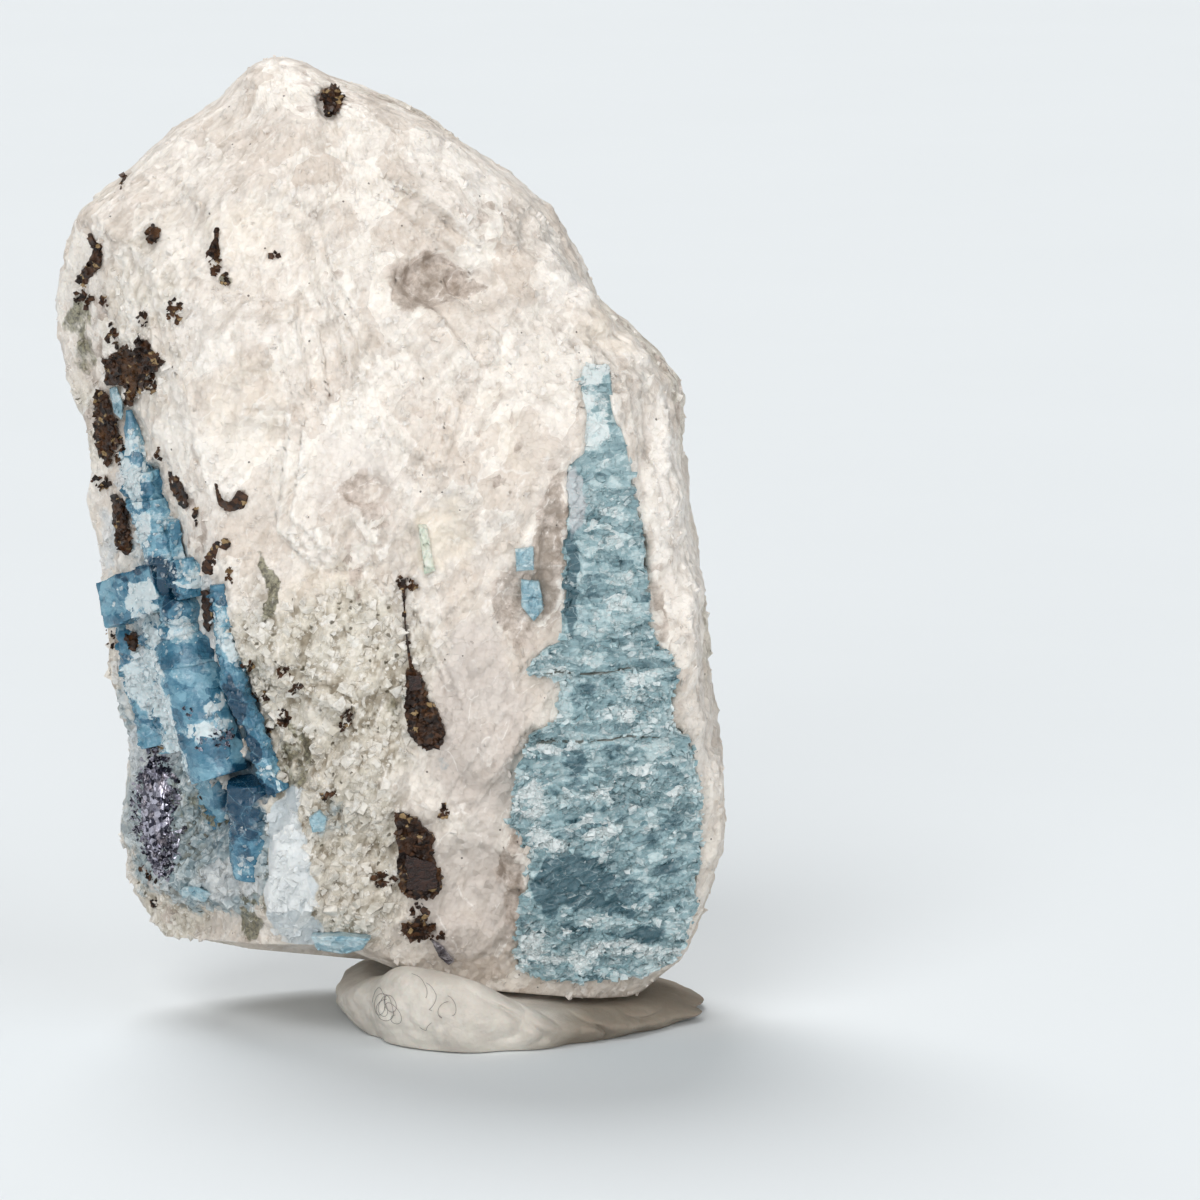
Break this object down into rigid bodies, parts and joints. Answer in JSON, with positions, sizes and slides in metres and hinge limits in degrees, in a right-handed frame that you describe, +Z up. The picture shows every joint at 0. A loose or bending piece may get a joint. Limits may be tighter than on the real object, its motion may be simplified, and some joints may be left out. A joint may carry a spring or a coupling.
{
  "type": "mineral specimen",
  "caption": "Slab of quartz and feldspar rock with long blue aquamarine crystals and dark mica, standing on a pad of white putty.",
  "frame": {"origin": "on the ground, under the middle of the specimen's box", "axes": "+Z up; the side with the crystals faces -Y; the long blue crystal is on the +X side"},
  "size_m": [0.0398, 0.0248, 0.0577],
  "materials": {
    "quartz": "broken rock, sugary to glassy",
    "blue_beryl": "glassy crystal faces with white veils",
    "pale_beryl": "glassy, broken",
    "green_beryl": "dull glassy",
    "mica": "pearly cleavage flakes",
    "grey_blades": "glassy",
    "metallic_crust": "metallic, sparkling",
    "putty": "matt, kneaded"
  },
  "bodies": {
    "root": {"quartz_matrix": "quartz", "aquamarine_right": "blue_beryl", "aquamarine_left_cluster": "blue_beryl", "aquamarine_small_square": "pale_beryl", "aquamarine_small_pale": "pale_beryl", "aquamarine_lower_edge": "pale_beryl", "aquamarine_grain": "pale_beryl", "aquamarine_foot": "pale_beryl", "aquamarine_in_mica": "pale_beryl", "green_crystal": "green_beryl", "mica_top": "mica", "mica_star": "mica", "mica_hexagon": "mica", "mica_ring": "mica", "mica_upper_left": "mica", "mica_edge": "mica", "mica_left_bar": "mica", "mica_flake": "mica", "mica_hook": "mica", "mica_curved": "mica", "mica_blade": "mica", "mica_grain": "mica", "mica_vein": "mica", "mica_middle_book": "mica", "mica_lower_book": "mica", "mica_bottom": "mica", "grey_crystals": "grey_blades", "sparkling_crust": "metallic_crust", "putty_stand": "putty"}
  },
  "joints": []
}
